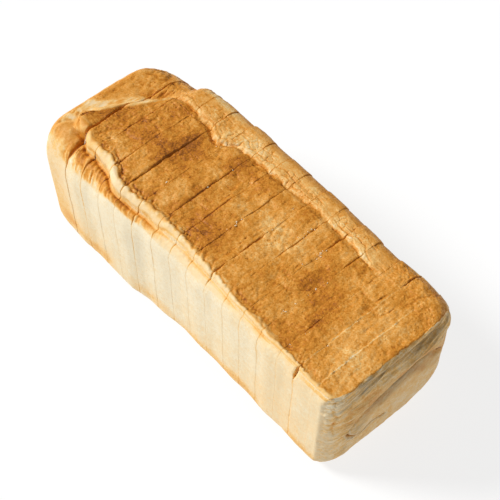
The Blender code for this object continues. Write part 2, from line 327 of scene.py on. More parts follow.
def roughness(places):  # unevenness at those places, of a size or sizes in millimetres
    return lambda size, seed: grain(places, np.array(size) * mm, seed)


def ridged(unevenness):  # 1 on thin wandering lines, less between them
    return 1 - np.abs(unevenness) * 2


# Scale-like cells of a size in millimetres: how far in from their borders a point lies, and each cell's own value.
def cells(u, v, size, seed):
    flat = stacked(u / (size[0] * mm), v / (size[1] * mm), 0 * u)
    spots = flat[:, :2] + 0.4 * stacked(grain(flat, 0.8, seed), grain(flat, 0.8, seed + 1))
    home = np.floor(spots).astype(int)
    gaps, values = [], []
    for step in product((-1, 0, 1), repeat=2):
        cell = home + step
        own = lattice[(*(cell % latticeCells).T, slice(seed, seed + 3))]
        gaps.append(np.hypot(*(cell + 0.5 + 0.42 * own[:, :2] - spots).T))
        values.append(own[:, 2])
    order = np.argsort(gaps, axis=0)[:2]
    first, second = np.take_along_axis(np.array(gaps), order, axis=0)
    return second - first, np.take_along_axis(np.array(values), order[:1], axis=0)[0]


def blob(x, y, spot):  # a patch's full amount in its middle, 0 from its rim on
    middleX, middleY, halfLength, halfWidth, amount = spot
    return amount * ease(1, 0.15, np.hypot((x / mm - middleX) / halfLength, (y / mm - middleY) / halfWidth))


# The crust's own relief and browning, with painted shade along some of its grooves and creases. Tables are
# (x in millimetres, amount), depths are in millimetres, and a tone runs from 0, pale, to 1, dark.
crustForm = {
    "dents": 0.90, "sunk": 0.75, "pitting": 0.34, "grain": 0.18, "pebbling": 0.40, "lidTone": 0.62,
    "tints": (0.03, 0.01, 0.04, 0.02, -0.01, 0.01, -0.02, 0, 0.02, -0.02, 0, -0.02, 0.02, -0.02, -0.03, 0),
    "pebbles": ((-140, 1), (-100, 1.2), (-60, 0.7), (-40, 0.5), (60, 0.6), (90, 0.9), (144, 0.6)),
    "grooveDepth": ((-130, 0), (-122, 0.6), (-112, 1.2), (-60, 1.2), (-35, 0.9), (-15, 0.3), (144, 0.2)),
    "grooveTone": ((-130, 0), (-122, 0.3), (-100, 0.34), (-55, 0.34), (-30, 0.22), (0, 0.18), (98, 0.18), (112, 0)),
    "combHeight": ((-135, 0.3), (-112, 0.9), (-50, 0.8), (-28, 0.15), (0, 0.05)),
    "ledgeAmount": ((-138, 0.75), (-110, 0.95), (-62, 1), (-40, 0.75), (-16, 0.15), (100, 0.05), (125, 0.5)),
    "rollTone": ((-128, 0.44), (-108, 0.32), (-96, 0.18), (-80, 0.12), (-20, 0.19), (20, 0.16), (80, 0.22),
        (110, 0.28), (130, 0.4)),
    "bandTone": ((-110, 0.5), (-75, 0.47), (-40, 0.36), (20, 0.44), (60, 0.4), (95, 0.5)),
    "bandEnd": ((78, 1), (98, 0)),
    "sideTone": ((-148, 0.08), (-110, 0.06), (-85, 0), (-40, -0.01), (30, 0.03), (60, 0.06), (95, 0.13),
        (140, 0.09)),
    "tip": ((-118, -38), (-124, -37), (-129, -33), (-130, -27), (-127, -21)),
    # patches (x, y, half length, half width, tone), of the lid and of the band beside it
    "patches": ((-76, 4, 34, 34, 0.1), (-61, 13, 20, 16, 0.14), (-29, 22, 8, 14, 0.1), (-29, -30, 8, 12, 0.1),
        (-12, -24, 24, 20, 0.14), (79, -3, 25, 23, 0.17), (94, -28, 20, 26, 0.14), (54, -22, 20, 22, 0.08),
        (26, 6, 34, 18, -0.11), (14, 9, 11, 5, -0.07), (34, -3, 14, 12, -0.03), (130, -28, 24, 24, -0.13),
        (118, 4, 26, 44, -0.1), (-40, 1, 18, 14, -0.11), (-115, -16, 18, 20, 0.08), (122, 30, 24, 18, 0.03),
        # the patch at (-6, 26) darkens the lid beside the crease: browning and painted shade of the raised band
        (-6, 26, 26, 8, 0.13), (4, -30, 16, 10, 0.08), (62, 12, 14, 10, 0.06), (104, 26, 10, 10, 0.06),
        (-2, 0, 13, 9, -0.12), (133, 20, 12, 12, -0.06)),
    "paleBlots": ((-33, 38, 18, 9, -0.1), (-76, 49, 32, 5, -0.34), (78, 32, 14, 10, -0.1),
        (132, -45, 16, 9, -0.14)),
}

# Each cut, in millimetres: its least width, how far its edges round over, how dark its line is where it is open,
# elsewhere on the top and on the sides, and where it stands open, as (y, z, reach, width). The dark lines are
# painted shade in the gaps between slices; a light line is pale crumb with a painted highlight on the edge.
cutNames = ("shown", "edge", "tone", "hair", "side", "open")
cutForm = [dict(zip(cutNames, cut)) for cut in (
    (0.5, 1.1, 0.1, 0.05, 0.12, ((-38, 94, 26, 2.6), (-8, 98, 22, 1), (22, 98, 16, 0.5))),
    (0.08, 0.9, 0.26, 0.12, 0.28, ((5, 104, 34, 0.15), (-46, 94, 9, 0.5))),
    (0.05, 0.8, 0.26, 0.1, 0.1, ((-32, 103, 22, 0.25),)),
    (0.08, 1.5, 0.34, 0.16, 0.06, ((-12, 104, 44, 0.5),)),
    (0.04, 0.5, 0.12, 0.02, 0.24, ((-52, 94, 8, 0.3), (-38, 104, 14, 0.1))),
    (0.05, 1.1, 0.3, 0.08, 0.12, ((-6, 104, 36, 0.35),)),
    (0.05, 0.9, 0.26, 0.06, 0.06, ((-14, 104, 34, 0.25),)),
    (0.04, 0.6, 0.16, 0.05, 0.06, ((14, 104, 20, 0.15), (-30, 104, 14, 0.1))),
    (0.04, 0.9, 0.28, 0, 0.05, ((-12, 104, 16, 0.5), (-42, 103, 12, 0.35))),
    (0.04, 0.7, 0.24, -0.02, 0.06, ((14, 104, 25, 0.35),)),
    (0.04, 0.6, 0.28, -0.08, 0.12, ((30, 104, 11, 0.6),)),
    (0.04, 0.6, 0.24, -0.07, 0.12, ((27, 104, 10, 0.5),)),
    (0.03, 0.6, 0.18, -0.07, 0.05, ((-21, 104, 9, 0.4),)),
    (0.04, 0.6, 0.1, -0.28, 0.22, ((-50, 99, 8, 2.4), (-55, 50, 50, 0.08), (48, 100, 12, 0.8))),
    (0.03, 0.5, -0.1, -0.28, 0.06, ((50, 98, 8, 0.4),)),
)]
lastSlice, lightHair = len(cutForm), -0.15  # a hair from this tone down is a light line
cutApart, sideApart, wobbleApart = 0.037, 0.011, 0.05  # how far apart the cuts lie in the unevenness


def crustAt(name, x):
    return along(x / mm, crustForm[name])


def bake(spot, amount):  # more mottled, as browned crust is
    spot.baked = np.maximum(spot.baked, amount)


def lidCrust(spot):
    x, y, rough = spot.x, spot.y, spot.rough
    across = y - at("lidLeft", x) - at("rollWidth", x)
    wander = rough((6, 20, 20), 3) * 1.2 * mm
    past = crustAt("bandEnd", x) * fade(-0.5, 2, y - at("crease", x) + wander)
    lid = fade(-1, 2, across + wander) * fade(1.5, -1, pastStep(x, y) + wander) * (1 - past) * spot.up
    dents = 0.9 * rough(16, 1) + 0.6 * rough(7, 2) + 0.4 * rough(3.4, 3)
    pits = ease(0.45, 0.8, rough(1.9, 4)) + 0.7 * ease(0.5, 0.85, rough(3.1, 5))
    edge, own = cells(x, y, (3.4, 2.9), 5)
    pebbles = (ease(0, 0.55, edge) - 0.6) * (0.7 + 0.5 * own) * crustAt("pebbles", x)
    bound, field = cells(x, y + 1.5 * mm * spot.tint * 20, (24, 19), 12)
    folds = (1 - ease(0, 0.1, bound)) * ease(-0.1, 0.5, rough(20, 72))
    crinkle = ease(0.82, 1, ridged(rough((11, 7, 10), 73))) * ease(0, 0.4, rough(22, 74))
    height = dents * crustForm["dents"] - pits * crustForm["pitting"] + rough(1.4, 6) * crustForm["grain"]
    corner = blob(x, y, (-89, 25, 17, 9, 1)) * ease(0.4, 0.9, ridged(rough((9, 3, 20), 66)))
    height += pebbles * crustForm["pebbling"] - crustForm["sunk"]
    height -= 0.4 * folds + 0.6 * crinkle + 0.9 * corner
    tone = crustForm["lidTone"] + spot.tint + 0.06 * field
    tone += 0.07 * folds + 0.09 * crinkle + 0.04 * pits + 0.12 * corner
    calm = 1 - 0.5 * fade(85, 105, x)
    blotches = ease(-0.16, 0.16, rough(12, 8)) - 0.5
    tone += 0.05 * rough(24, 7) + calm * (0.1 * blotches + 0.06 * rough(3.4, 57))
    tone = tone - 0.05 * pebbles + sum(blob(x, y, patch) for patch in crustForm["patches"])
    spot.relief += lid * height
    spot.tone = mix(spot.tone, tone, lid)
    bake(spot, lid)


def lidEdge(spot):  # the browned crease with small pleats where the lid meets the roll
    x, y, rough = spot.x, spot.y, spot.rough
    wander = rough((10, 30, 30), 9) * 0.8 * mm + rough((1.6, 20, 20), 10) * mm
    across = y - at("lidLeft", x) - at("rollWidth", x) + wander
    mask = spot.up * (1 - fade(-0.5, 1.5, pastStep(x, y)))
    mask = mask * (1 - 0.5 * fade(0, 50, x)) * fade(-112, -94, x)
    slanted = roughness(spot.places + stacked(0.6 * y, 0 * y, 0 * y))
    pleats = ease(0.55, 0.95, ridged(slanted((3, 12, 20), 11))) * peak(across, 2.5, 5)
    crease = peak(across, 0.4, 1.1) * (0.7 + 0.6 * rough(6, 75))
    second = peak(across, 3.4, 0.9) * ease(-0.1, 0.4, rough((9, 30, 30), 68))
    lines = crease + 0.7 * second
    spot.relief += mask * (0.3 - 0.8 * pleats - lines + 0.35 * peak(across, -1.6, 1.5))
    spot.tone += mask * (0.46 * lines + 0.22 * pleats - 0.12 * peak(across, 1.9, 1))


def rollAndLedge(spot):
    x, y, rough = spot.x, spot.y, spot.rough
    width, groove = at("rollWidth", x), at("lidLeft", x)
    wander = rough((12, 40, 40), 12) * 1.3 * mm
    across = y - groove + wander
    tipped = fade(-130, -124, x + 0.3 * (y + 36 * mm))
    top = spot.upper * tipped
    roll = fade(-0.4, 0.8, across) * (1 - fade(-0.8, 1.2, across - width)) * top * fade(120, 104, x)
    ragged = across / width + 0.22 * rough((2.5, 6, 6), 76)
    tone = crustAt("rollTone", x) + 0.05 * rough(6, 13) + 0.03 * rough(2, 77)
    tone += 0.28 * ease(0.55, 1, ragged) + 0.1 * (1 - ease(0, 0.3, across / width))
    spot.tone = mix(spot.tone, tone, roll)
    lumps = 0.2 * rough(7, 14) + 0.14 * rough(2.8, 78)
    spot.relief += roll * (0.3 * bump(across - width * 0.55, width * 0.6) + lumps - 0.2)
    bent = roughness(spot.places + stacked(0.25 * y + 1.2 * mm * rough(8, 96), 0 * y, 0 * y))
    comb = crustAt("combHeight", x) * (bent((1.3, 6, 7), 15) + 0.3 * bent((2.8, 8, 10), 54))
    ledge = fade(0.2, -0.8, across - (1 - tipped) * (width + 2 * mm)) * spot.upper
    ledge = ledge * fade(1.5, -1, pastStep(x, y) + wander)
    out = (groove - y) / (groove - at("leftSide", x)) + 0.2 * (1 - tipped)  # 0 at the groove, 1 at the side
    flaking = -0.24 * fade(-116, -122, x) + 0.12 * rough(4.5, 79) + 0.08 * rough(1.8, 80) + 0.14 * comb
    brown = 0.4 * (1 - ease(0.36, 0.86, out + flaking)) + 0.1 * (1 - ease(0.7, 1, out + flaking))
    amount = crustAt("ledgeAmount", x)
    fine = 0.2 * rough(2.2, 81)
    spot.relief += ledge * spot.up * (comb * 0.75 + amount * 0.7 * bump(out - 0.42, 0.42) + fine - 0.3)
    shade = mix(0.08, 0.14 + brown + 0.05 * rough(6, 16), amount) - 0.24 * comb * (1 - ease(0.65, 1, out))
    shade += 0.06 * amount * rough(1.6, 97)
    spot.tone = mix(spot.tone, shade, ledge * ease(0.05, 0.4, spot.up))
    bake(spot, 0.5 * ledge * amount * spot.up)
    grooved = peak(across, -0.3, 2.4) * top
    spot.relief -= grooved * crustAt("grooveDepth", x)
    # a darker line along the groove: browning and painted shade in the groove under the roll
    line = peak(across, -0.5, 2.2) * top
    spot.tone += line * crustAt("grooveTone", x) * (0.75 + 0.5 * rough(5, 17)) * 0.8
    tip = peak(distance(x, y, metres(crustForm["tip"])) + 0.4 * rough(4, 95) * mm, 0, 1.6) * spot.up
    spot.relief -= tip * 1.1
    spot.tone += tip * 0.22
    second = peak(y + wander, -53.5, 1.2) * fade(30, 50, x) * fade(110, 95, x) * top
    spot.relief -= second * 0.2
    spot.tone += second * 0.1


def rightBand(spot):  # cracked, scaly crust between the lid's crease and the right side
    x, y, z, rough = spot.x, spot.y, spot.z, spot.rough
    wander = rough((9, 30, 30), 18) * 1.6 * mm + rough((2.6, 20, 20), 19) * 1.1 * mm
    across = y - at("crease", x) + wander
    reach = crustAt("bandEnd", x) * fade(-113, -100, x) * fade(72, 90, z) * (y > 0)
    band = fade(-0.4, 0.6, across) * reach
    edge, own = cells(x, y - z, (5.2, 3.6), 18)
    small, ownSmall = cells(x, y - z, (2.4, 1.9), 24)
    broken = ease(-0.25, 0.15, rough((12, 8, 8), 23))
    outer = ease(0.45, 0.75, share(y, at("crease", x), at("rightSide", x)))
    flaky = ridged(rough((6, 2.4, 2.4), 98)) * ease(-0.4, 0.3, rough(11, 99))
    cracks = (1 - ease(0, 0.16, edge)) * broken * (1 - 0.85 * outer)
    plates = (0.5 * own + 0.35 * ownSmall * ease(0, 0.25, small)) * broken * (1 - 0.6 * outer)
    height = 0.3 * plates + 0.35 * rough(8, 20) * (1 - 0.4 * outer) - 0.5 * cracks + 0.22 * flaky - 0.35
    tone = crustAt("bandTone", x) + 0.02 - 0.1 * plates + 0.16 * cracks + 0.15 * outer - 0.07 * flaky
    tone += 0.06 * rough(3, 25) + 0.05 * rough((20, 6, 6), 21)
    tone += sum(blob(x, y, patch) for patch in crustForm["paleBlots"])
    spot.relief += band * height
    spot.tone = mix(spot.tone, tone, band)
    bake(spot, band * 0.7)
    # darker along the crease and a second line: cracks with painted shade in them; the rim just right of the crease
    # is painted lighter, pale crust with a painted highlight on its raised edge
    further = 4.6 * mm + 3 * mm * rough((14, 50, 50), 70)
    lines = peak(across, 0, 0.9) + 0.6 * peak(across - further, 0, 0.9)
    line = lines * reach * (0.7 + 0.7 * rough((6, 20, 20), 26))
    rim = peak(across, 1.7, 1.2) * reach
    spot.relief += 0.2 * rim - line * 0.8
    spot.tone += line * 0.24 - 0.07 * rim


def farStep(spot):  # past the lid a paler stretched band, then the lower brown hump of the corner
    x, y, rough = spot.x, spot.y, spot.rough
    wander = rough(10, 27) * 1.4 * mm + rough(3.5, 82) * 0.7 * mm
    past = pastStep(x, y) + wander
    reach = spot.up * (x < -80 * mm)
    outer = mix(9, 18, clamp((20 * mm - y) / (45 * mm))) * mm + rough(7, 94) * 2 * mm
    band = fade(0, 1.2, past) * (1 - fade(-2.5, 2.5, past - outer)) * reach
    hump = fade(-2.5, 2.5, past - outer) * reach
    turned = roughness(stacked(x + 0.4 * y, y - 0.4 * x, 0 * x))
    threads = turned((1.6, 6, 1000), 28) + 0.7 * turned((0.9, 3, 1000), 83)
    flecked = ease(0.1, 0.5, turned((2, 4, 1000), 84)) * ease(-0.3, 0.3, rough(9, 85))
    tone = 0.26 + 0.16 * threads + 0.1 * rough(5, 29) + 0.08 * fade(-10, 30, y) + 0.24 * flecked
    tone += 0.06 * fade(-26, -36, y)
    spot.tone = mix(spot.tone, tone, band)
    paler = fade(-12, -36, y) * 0.42
    bound, own = cells(x, y, (6, 4.5), 28)
    crease = (1 - ease(0.02, 0.2, bound)) * ease(-0.3, 0.2, rough(12, 33))
    wrinkled = ease(0.25, 0.9, ridged(turned((2.4, 10, 1000), 100))) * ease(-0.2, 0.3, rough(14, 101))
    tone = 0.58 - paler + 0.1 * rough(9, 30) + 0.08 * rough(3, 31) + 0.08 * crease + 0.18 * wrinkled
    spot.tone = mix(spot.tone, tone, hump)
    spot.relief += band * (0.3 * threads - 0.15)
    swell = 0.5 * rough(12, 32) + 0.5 * (ease(0, 0.5, bound) - 0.5) * (0.7 + own) + 0.2 * rough(2.2, 86)
    notch = peak(np.hypot(x + 146 * mm, y - 10 * mm), 0, 4.5)
    spot.relief += hump * (swell - 0.3 * crease - 0.3 - 1.1 * wrinkled - 2.2 * notch)
    spot.relief -= reach * peak(past, 0.3, 1.8) * 0.7
    spot.tone += reach * peak(past, -0.6, 2) * 0.1
    bake(spot, hump * 0.8)


def sides(spot):  # pale where the tin held the loaf, with a little more colour at the foot
    x, y, z, rough = spot.x, spot.y, spot.z, spot.rough
    wall = 1 - spot.up
    rim = peak(z + rough(20, 34) * 4 * mm, 12, 14)
    blotches = ease(-0.6, 0.6, rough((26, 26, 12), 35))
    tone = crustAt("sideTone", x) + 0.05 * fade(75, 20, z) + 0.03 * rough(18, 36) + rim * blotches * 0.3
    tone += 0.05 * fade(0, -100, x) * fade(60, 20, z) + 0.14 * fade(-112, -130, x)
    spot.drawn = 0.22 * wall
    spot.tone = mix(spot.tone, tone + 0.06 * fade(0, 30, y), wall)
    bake(spot, wall * (0.36 + 0.14 * fade(50, 15, z)))
    streaks = rough((6, 6, 30), 37)
    spot.relief += wall * (0.26 * rough(14, 38) + 0.1 * streaks + 0.07 * rough(1.6, 39))
    under = 1 - ease(-0.9, -0.5, spot.nz)
    spot.tone = mix(spot.tone, 0.42 + 0.12 * rough(20, 40), under)


def nearEnd(spot, out):  # the last slice's end crust: a stretched band, a hollow, a fold and a pale corner
    x, y, z, rough = spot.x, spot.y, spot.z, spot.rough
    depth = nearEndX - x
    sway = rough((10, 20, 20), 58) * 1.4 * mm
    above = aboveLip(y, z) + 0.5 * rough(4, 87) * mm
    inside = fade(-40, -32, y) * fade(48, 43, y)
    slanted = roughness(stacked(x, y, z - 0.22 * y + sway))
    threads = slanted((10, 17, 1.6), 41) + 0.7 * slanted((10, 9, 0.8), 56) + 0.8 * slanted((10, 22, 3.4), 59)
    scallop = rough((10, 9, 10), 42) * 1.8 * mm + rough((10, 2.8, 10), 43) * 0.9 * mm
    goldEdge = depth - 2.6 * mm + 0.7 * (z - loafHeight) + scallop + fade(-36, -50, y) * -2.6 * mm
    gold = fade(-0.5, 0.5, goldEdge) * fade(85, 92, z)
    # the hollow under the gold edge, sunk in the relief and greyed: painted shade in the recess
    hollow = peak(z - 0.02 * y + sway, 93.5, 7) * fade(-40, 0, y) * (1 - 0.7 * fade(36, 46, y))
    # the lip's crease line, browned and greyed: partly browning, partly painted shade along the lip's edge
    crease = inside * np.maximum(peak(above, 0.3, 1.6), 0.8 * peak(above, 2.6, 1.5))
    # painted shadow below the lip's overhang, greying the colour, widest in the middle and fainter to the right
    under = inside * fade(1.5, 0, above) * fade(-22, -12, above) * mix(0.35, 1, fade(-30, 0, y))
    under *= mix(1, 0.45, fade(18, 38, y)) * (0.8 + 0.4 * rough(9, 88))
    seam = peak(distance(y, z, seamLine), 0, 1.2)
    seamRim = peak(distance(y, z, seamLine), 1.9, 1.3)
    split = peak(distance(y, z, endForm["split"]) + 0.6 * rough(3, 89) * mm, 0, 1.3)
    corner = fade(-34, -50, y)
    wrinkles = ease(0.5, 0.95, ridged(rough((5, 6, 4), 44))) + 0.6 * rough((4, 3, 1.6), 90)
    wrinkles = 0.7 * wrinkles * corner * fade(20, 60, z)
    left = fade(-10, -36, y)
    low = fade(62, 34, z)
    band = fade(78, 86, z + 0.06 * y)
    streaks = np.maximum(band, 0.8 * left)
    folded = fade(0, 2, above) * fade(16, 9, above) * inside
    second = peak(z - 0.02 * y + sway, 84.5, 3.5)
    tone = 0.37 + 0.05 * rough((10, 12, 8), 45) + 0.07 * rough(4.5, 46)
    tone += 0.06 * rough(1.5, 63) + 0.03 * folded - 0.1 * low * (1 - corner) - 0.16 * corner
    tone += 0.36 * crease - 0.08 * left * (1 - low) * threads
    tone += 0.34 * seam - 0.16 * seamRim - 0.1 * band + 0.03 * second + 0.14 * split - 0.06 * wrinkles
    # This greying darkens the colour: painted shade in the hollow, under the lip, along its crease, in the seam and
    # the split, over the stretched band (less on the right, where lit) and over the upper face; the streaked
    # threads are the crust's own grey; the corner, wrinkles and second ridge are kept lighter
    lit = 1 - 0.6 * fade(30, 44, y)
    dull = 0.26 * band * lit + 0.3 * hollow + 0.6 * under + 0.12 * (1 - low) * (1 - band) - 0.12 * second
    dull += (0.16 + 0.12 * band) * streaks * (1 - 0.6 * corner) * threads
    dull += 0.15 * split - 0.28 * corner - 0.1 * wrinkles
    dull += 0.75 * crease + 0.3 * seam - 0.18 * fade(-0.6, 0, goldEdge + 2 * mm) * (1 - gold)
    edge = peak(goldEdge, 0.5, 1.2)
    spot.tone = mix(spot.tone, tone, out * (1 - gold)) + 0.14 * edge * gold * out
    spot.dull = clamp(dull) * out * (1 - gold)
    relief = 0.6 * fade(-1, 0.6, goldEdge) - 1.3 * hollow - 1.2 * crease - 1.5 * seam + 0.5 * seamRim
    relief += 0.45 * streaks * (1 - 0.6 * corner) * threads
    relief += 0.3 * wrinkles + 0.3 * folded + 0.25 * rough(11, 47)
    relief += 0.16 * rough(3.5, 48) + 0.8 * second + 0.08 * rough(1.4, 65) - 0.9
    relief -= 0.9 * split + 0.5 * under
    spot.relief = mix(spot.relief, relief, out * (1 - 0.7 * gold))
    bake(spot, 0.5 * out)
    spot.drawn = mix(spot.drawn, (streaks * (1 - 0.6 * corner) + 0.25) * (1 - gold), out)


def farEnd(spot, out):  # the other end's crust, smooth and pale below a browned edge
    z, rough = spot.z, spot.rough
    threads = ridged(rough((10, 12, 2), 49))
    high = fade(70, 88, z)
    tone = 0.22 + 0.07 * rough(22, 50) + 0.05 * rough(6, 51) + 0.2 * high + 0.05 * high * threads
    tone -= 0.1 * fade(45, 20, z)
    spot.tone = mix(spot.tone, tone, out)
    relief = 0.4 * rough(16, 52) + 0.14 * rough(4, 53) + 0.14 * high * threads - 0.4
    spot.relief = mix(spot.relief, relief, out)


def sliceStops(index, start, end):  # where along the slice its sections lie
    low = start + (cutForm[index - 1]["shown"] * mm / 2 if index else 0)
    high = end - (cutForm[index]["shown"] * mm / 2 if index < lastSlice else 0)
    steps = np.array(fineGrid["edgeSteps"])
    first, last = low + steps[:-1], high - steps[-2::-1]
    if index == 0:  # the end slices' sections crowd towards their crust
        rest = np.linspace(0, 1, fineGrid["farBands"] + 1 - len(last)) ** fineGrid["crowding"]
        return np.concatenate((low + (high - low - steps[-1]) * rest, last))
    if index == lastSlice:
        rest = 1 - np.linspace(1, 0, fineGrid["nearBands"] + 1 - len(first)) ** fineGrid["crowding"]
        return np.concatenate((first, low + steps[-1] + (high - low - steps[-1]) * rest))
    count = fineGrid["bands"] + 1 - len(first) - len(last)
    return np.concatenate((first, np.linspace(low + steps[-1], high - steps[-1], count), last))


def gridBlock(bands, across, up):  # a cube cut into bands along X and into a grid on its ends
    mesh = bmesh.new()
    bmesh.ops.create_cube(mesh, size=1, matrix=Matrix.Translation((0.5, 0.5, 0.5)))
    for axis, count in enumerate((bands, across, up)):
        edges = [edge for edge in mesh.edges if abs(edge.verts[1].co[axis] - edge.verts[0].co[axis]) > 0.5]
        bmesh.ops.subdivide_edges(mesh, edges=edges, cuts=count - 1, use_grid_fill=True)
    bmesh.ops.recalc_face_normals(mesh, faces=mesh.faces)
    data = bpy.data.meshes.new("gridBlock")
    mesh.to_mesh(data)
    mesh.free()
    return data


blocks = {}


def blockCopy(bands, across, up):
    if (bands, across, up) not in blocks:
        blocks[bands, across, up] = gridBlock(bands, across, up)
    return blocks[bands, across, up].copy()


def cutWobble(index, y, z):  # how far the knife wandered, the same on both sides of a cut
    rough = roughness(stacked(0 * y + index * wobbleApart, y, z))
    slow, quick = rough((1000, 26, 30), 60), rough((1000, 8, 8), 61)
    return (0.7 * slow + 0.4 * quick + 0.22 * rough((1000, 2.8, 4), 91)) * mm


def opening(index, y, z):  # how far each side of a cut stands back at the crust, and how open that is from 0 to 1
    wide, most = 0 * y, 0 * y
    for spotY, spotZ, reach, width in cutForm[index]["open"]:
        near = 1 - ease(0.2, 1, np.hypot(y - spotY * mm, z - spotZ * mm) / (reach * mm))
        wide, most = wide + width * mm * near, np.maximum(most, near)
    return wide / 2, most


def readVectors(data, name):
    found = np.empty(len(data) * 3)
    data.foreach_get(name, found)
    return found.reshape(-1, 3)


def placed(index, x, y, z):
    lean = mix(loafForm["leanFar"], loafForm["leanNear"], (x - farEndX) / loafForm["length"])
    return stacked(x + lean * (1 - z / loafHeight) - loafForm["centre"][0],
                   y + sliceForm["slide"][index] - loafForm["centre"][1],
                   z * (1 - sliceForm["sink"][index] / loafHeight))


def carried(values, grid):  # the outline's values, blended over a cut face
    rim = values[grid]
    u = np.linspace(0, 1, grid.shape[0]).reshape(-1, 1, *[1] * (rim.ndim - 2))
    v = np.linspace(0, 1, grid.shape[1]).reshape(1, -1, *[1] * (rim.ndim - 2))
    sides = mix(rim[:1], rim[-1:], u) + mix(rim[:, :1], rim[:, -1:], v)
    return sides - mix(mix(rim[:1, :1], rim[-1:, :1], u), mix(rim[:1, -1:], rim[-1:, -1:], u), v)


def endDepth(index, x):  # how far in from the loaf's nearer end
    return nearEndX - x if index == lastSlice else x - farEndX


def formSlice(index, start, end):
    stops = sliceStops(index, start, end)
    bands = len(stops) - 1
    across, up = fineGrid["nearFaces" if index == lastSlice else "faces"]
    data = blockCopy(bands, across, up)
    unit = readVectors(data.vertices, "co")
    stop = np.rint(unit[:, 0] * bands).astype(int)
    x, over, rise = stops[stop], unit[:, 1], unit[:, 2]
    y, z, deep = section(x, over, rise)
    depth = endDepth(index, x)
    spread = clamp(1 - depth / endForm["spread"])
    outX, folded = 0 * x, 0 * x
    if index == 0:
        y, z = drawnIn(y, z, depth, endForm["farRound"])
        x = x + dome(y, z, endForm["farDome"]) * spread
        outX = 1.0 * (stop == 0)
    if index == lastSlice:
        y, z = drawnIn(y, z, depth, endForm["nearRound"])
        x = x - dome(y, z, endForm["nearDome"]) * spread
        folded = fold(y, z) * spread
        outX = 1.0 * (stop == bands)
    data.vertices.foreach_set("co", stacked(x, y, z).ravel())
    data.update()
    facing = readVectors(data.vertex_normals, "vector")
    x = x + folded
    places = stacked(x, y, z)
    onSkin = (np.minimum(over, rise) < 1e-6) | (np.maximum(over, rise) > 1 - 1e-6)
    crust = onSkin | (outX > 0)

    # crust relief and browning, with painted shade in some creases, grooves and recesses
    atEnd = (index in (0, lastSlice)) * fade(12, 4, endDepth(index, x))  # elsewhere relief stays in its section
    inPlane = facing * stacked(atEnd, 1 + 0 * x, 1 + 0 * x)
    outward = inPlane / np.maximum(np.linalg.norm(inPlane, axis=1), 1e-9)[:, None]
    spot = SimpleNamespace(
        places=places, x=x, y=y, z=z, rough=roughness(places), tint=crustForm["tints"][index], relief=0 * x,
        tone=0 * x + 0.3, baked=0 * x, dull=0 * x, drawn=0 * x, nz=outward[:, 2], up=ease(0.25, 0.7, outward[:, 2]),
        upper=fade(60, 75, z) * (outward[:, 2] > 0))
    for dress in (sides, lidCrust, farStep, rightBand, rollAndLedge, lidEdge):
        dress(spot)
    if index == lastSlice:
        nearEnd(spot, ease(0.1, 0.4, facing[:, 0]))
    if index == 0:
        farEnd(spot, ease(0.35, 0.75, -facing[:, 0]))
    moved = places + outward * (spot.relief * mm * crust)[:, None]
    column, row = np.rint(over * across).astype(int), np.rint(rise * up).astype(int)

    # the cuts: a wandering line, an opening where the slices part, rounded edges, and a line painted along each:
    # painted shade in the gap, or a pale line with a painted highlight
    tone = spot.tone
    for cut, stopAt, way in ((index - 1, 0, 1), (index, bands, -1)):
        if cut < 0 or cut > lastSlice - 1:
            continue
        back = np.abs(stops[stop] - stops[stopAt])
        look = cutForm[cut]
        light = look["hair"] <= lightHair
        wide, openness = opening(cut, y, z)
        radius = mix(0.06 if light else 0.25, look["edge"], openness) * mm + 0.6 * wide
        rounding = radius * 0.5 * clamp(1 - back / (radius * 1.6)) ** 2 * crust
        ownRough = roughness(stacked(0 * y + cut * cutApart + way * sideApart, y, z))
        cutRough = roughness(stacked(0 * y + cut * cutApart, y, z))
        torn = ownRough((1000, 6, 30), 92) * 0.22 * mm * clamp(1 - back / (1.6 * mm)) * crust * spot.up
        moved += outward * (torn - rounding)[:, None]
        face = np.flatnonzero(stop == stopAt)
        grid = np.empty((across + 1, up + 1), int)
        grid[column[face], row[face]] = face
        moved[grid] = places[grid] + carried(moved - places, grid)
        near = clamp(1 - back / (3 * wide + 1 * mm))
        shallow = clamp(1 - deep / (4 * wide + 0.5 * mm))
        moved[:, 0] += way * wide * near * np.where(crust, 1, shallow)
        moved[:, 0] += cutWobble(cut, y, z) * clamp(1 - back / (6 * mm))
        other = index - way  # the neighbour, met halfway where the cut is closed
        soft = fade(8, 0, back) * (1 - 0.7 * openness) * (1 - 0.9 * fade(40, 48, y)) / 2
        moved[:, 1] += (sliceForm["slide"][other] - sliceForm["slide"][index]) * soft
        moved[:, 2] -= (sliceForm["sink"][other] - sliceForm["sink"][index]) * z / loafHeight * soft
        vary = 0.7 * cutRough((1000, 11, 30), 71) + 0.5 * cutRough((1000, 4, 10), 93)
        vary = 0.8 + vary * (0.15 if light else 1)
        hair = look["hair"] + 0.16 * np.maximum(fade(28, 34, y), fade(-40, -46, y))
        # the line along each cut: darker lines are painted shade in the gap between slices, on the top and down the
        # sides; light hairlines are pale crumb with a painted highlight on the edge
        line = mix(hair, look["tone"], openness) * vary
        line = line * (1 - fade(0.1, mix(0.6, 0.5 + look["edge"] * 0.5, openness), back)) * spot.up
        tone = tone + line + look["side"] * vary * fade(0.8, 0.1, back) * (1 - spot.up)
        tone[grid] = carried(tone, grid)
        inner = (stop == stopAt) & ~onSkin
        holes = ease(0.25, 0.75, spot.rough(4.2, 62 + cut)) + 0.6 * ease(0.35, 0.8, spot.rough(2.1, 80 + cut))
        moved[:, 0] += np.where(inner, way * holes * 0.8 * mm * fade(1, 3.5, deep), 0)

